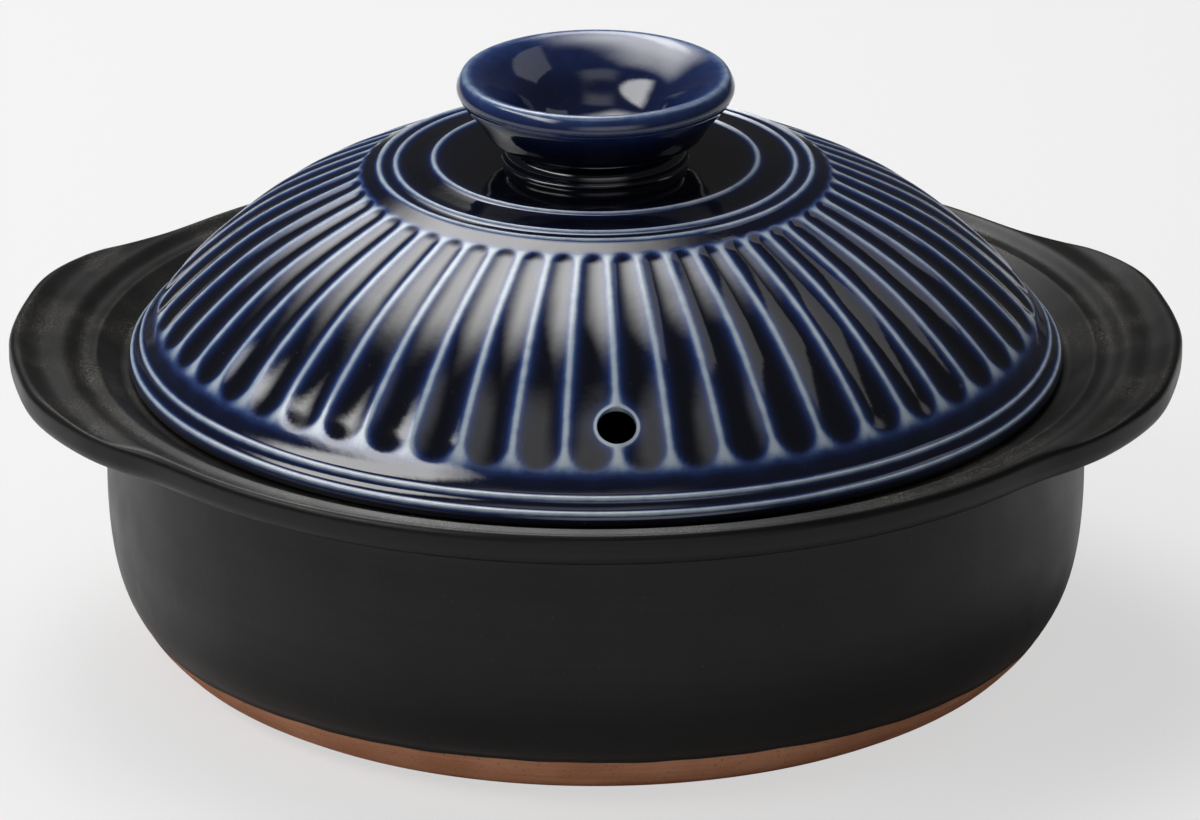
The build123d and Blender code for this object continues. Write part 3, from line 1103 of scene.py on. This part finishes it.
@dataclass(frozen=True)
class Lamp:
    """A soft rectangular lamp that faces the pot."""

    name: str
    azimuth: float
    elevation: float
    distance: float
    size: Pair
    radiance: float
    soft: float = 0.0

    def build(self) -> bpy.types.Object:
        """Hang the lamp and turn it to the pot.

        Returns:
            The lamp's object.
        """
        light = bpy.data.lights.new(self.name, "AREA")
        light.shape = "RECTANGLE"
        light.size, light.size_y = self.size
        light.energy = self.radiance * math.pi * self.size[0] * self.size[1]
        if self.soft:
            self._soften(light)
        lamp = bpy.data.objects.new(self.name, light)
        bpy.context.scene.collection.objects.link(lamp)
        a, e = math.radians(self.azimuth), math.radians(self.elevation)
        away = Vector((math.sin(a) * math.cos(e), -math.cos(a) * math.cos(e), math.sin(e)))
        lamp.location = Vector((0, 0, 0.1)) + away * self.distance
        lamp.rotation_euler = away.to_track_quat("Z", "Y").to_euler()
        lamp.visible_camera = False
        return lamp

    def _soften(self, light: bpy.types.AreaLight) -> None:
        """Let the lamp's cloth dim smoothly over a share of its width towards each edge."""
        light.use_nodes = True
        nodes, links = light.node_tree.nodes, light.node_tree.links
        emission = next(n for n in nodes if n.type == "EMISSION")
        split = nodes.new("ShaderNodeSeparateXYZ")
        links.new(nodes.new("ShaderNodeTexCoord").outputs["UV"], split.inputs[0])
        level = nodes.new("ShaderNodeMath")
        level.operation = "MULTIPLY"
        for i in (0, 1):
            middle = nodes.new("ShaderNodeMath")
            middle.operation = "PINGPONG"
            middle.inputs[1].default_value = 0.5
            links.new(split.outputs[i], middle.inputs[0])
            edge = nodes.new("ShaderNodeMapRange")
            edge.interpolation_type = "SMOOTHSTEP"
            edge.inputs["From Max"].default_value = self.soft
            links.new(middle.outputs[0], edge.inputs["Value"])
            links.new(edge.outputs[0], level.inputs[i])
        links.new(level.outputs[0], emission.inputs["Strength"])


@dataclass
class Studio:
    """Camera, lamps and the pale floor."""

    lens: float = 353.67
    azimuth: float = -0.4
    elevation: float = 21.05
    distance: float = 3.2719
    target: Colour = (0.00119, 0.0, 0.06675)
    floor_radius: float = 14.0
    floor_colour: Colour = (0.86, 0.86, 0.86)
    floor_glow: float = 0.6
    sky: float = 0.05
    lamps: tuple[Lamp, ...] = (
        Lamp("softbox_top", -150.0, 61.0, 1.35, (1.5, 1.7), 4.6, 0.42),
        Lamp("strip_left", -68.0, 39.0, 1.6, (2.0, 0.55), 4.8, 0.3),
        Lamp("panel_back", -172.0, 50.0, 1.6, (1.0, 0.5), 2.6, 0.3),
        Lamp("ceiling_front", -8.0, 62.0, 1.7, (1.6, 0.85), 0.5, 0.35),
        Lamp("fill_front", 10.0, 14.0, 2.2, (3.0, 1.3), 0.75, 0.35),
        Lamp("window_right", 118.0, 50.0, 1.8, (0.9, 0.9), 0.5, 0.1),
    )

    def build(self) -> None:
        """Set up everything that isn't the object."""
        self._camera()
        for lamp in self.lamps:
            lamp.build()
        self._floor()
        self._sky()
        bpy.context.scene.view_settings.view_transform = "Standard"

    def _camera(self) -> None:
        """Place the camera where the photograph was taken from."""
        data = bpy.data.cameras.new("photo_camera")
        data.sensor_width = 36.0
        data.lens = self.lens
        data.clip_end = 100.0
        camera = bpy.data.objects.new("photo_camera", data)
        bpy.context.scene.collection.objects.link(camera)
        tilt, swing = math.radians(self.elevation), math.radians(self.azimuth)
        back = Vector((math.sin(swing) * math.cos(tilt), -math.cos(swing) * math.cos(tilt), math.sin(tilt)))
        camera.location = Vector(self.target) + back * self.distance
        camera.rotation_euler = (math.pi / 2 - tilt, 0, swing)
        bpy.context.scene.camera = camera

    def _floor(self) -> None:
        """Lay a round floor that looks pale to the camera and keeps the shadow."""
        clear_selection()
        bpy.ops.mesh.primitive_circle_add(vertices=96, radius=self.floor_radius, fill_type="NGON")
        floor = bpy.context.object
        floor.name = "floor"
        bench = Bench("pale_floor")
        bench.set(Base_Color=(*self.floor_colour, 1), Roughness=0.9, Specular_IOR_Level=0.1)
        self._glow(bench, self.floor_glow)
        floor.data.materials.append(bench.material)

    def _glow(self, bench: Bench, share: float) -> None:
        """Mix white into a stage material, by a share, for rays from the camera."""
        seen = bench.add("ShaderNodeLightPath").outputs["Is Camera Ray"]
        white = bench.add("ShaderNodeEmission")
        mix = bench.add("ShaderNodeMixShader")
        output = next(n for n in bench.tree.nodes if n.type == "OUTPUT_MATERIAL")
        bench.link(bench.math("MULTIPLY", seen, share), mix.inputs[0])
        bench.link(bench.shader.outputs[0], mix.inputs[1])
        bench.link(white.outputs[0], mix.inputs[2])
        bench.link(mix.outputs[0], output.inputs["Surface"])

    def _sky(self) -> None:
        """Fill the room with dim, even light, behind which the camera sees white."""
        world = bpy.data.worlds.new("studio")
        bpy.context.scene.world = world
        world.use_nodes = True
        nodes, links = world.node_tree.nodes, world.node_tree.links
        background = next(n for n in nodes if n.type == "BACKGROUND")
        background.inputs["Color"].default_value = (1, 1, 1, 1)
        rays = nodes.new("ShaderNodeLightPath")
        level = nodes.new("ShaderNodeMapRange")
        links.new(rays.outputs["Is Camera Ray"], level.inputs["Value"])
        level.inputs["To Min"].default_value = self.sky
        level.inputs["To Max"].default_value = 1.0
        links.new(level.outputs[0], background.inputs["Strength"])


def main() -> None:
    """Build the pot, the lid and the studio, and report each piece."""
    logging.basicConfig(level=logging.INFO, format="%(name)s: %(message)s")
    clay = BareClay().build()
    black = BlackGlaze().build()
    blue = BlueGlaze()
    pieces = [
        Foot().build(clay),
        Pot().build(black),
        Lid().build(blue, clay),
        Knob().build(blue.build()),
    ]
    for piece in pieces:
        log.info("%s: %d faces", piece.name, len(piece.data.polygons))
    Studio().build()


if __name__ == "__main__":
    main()
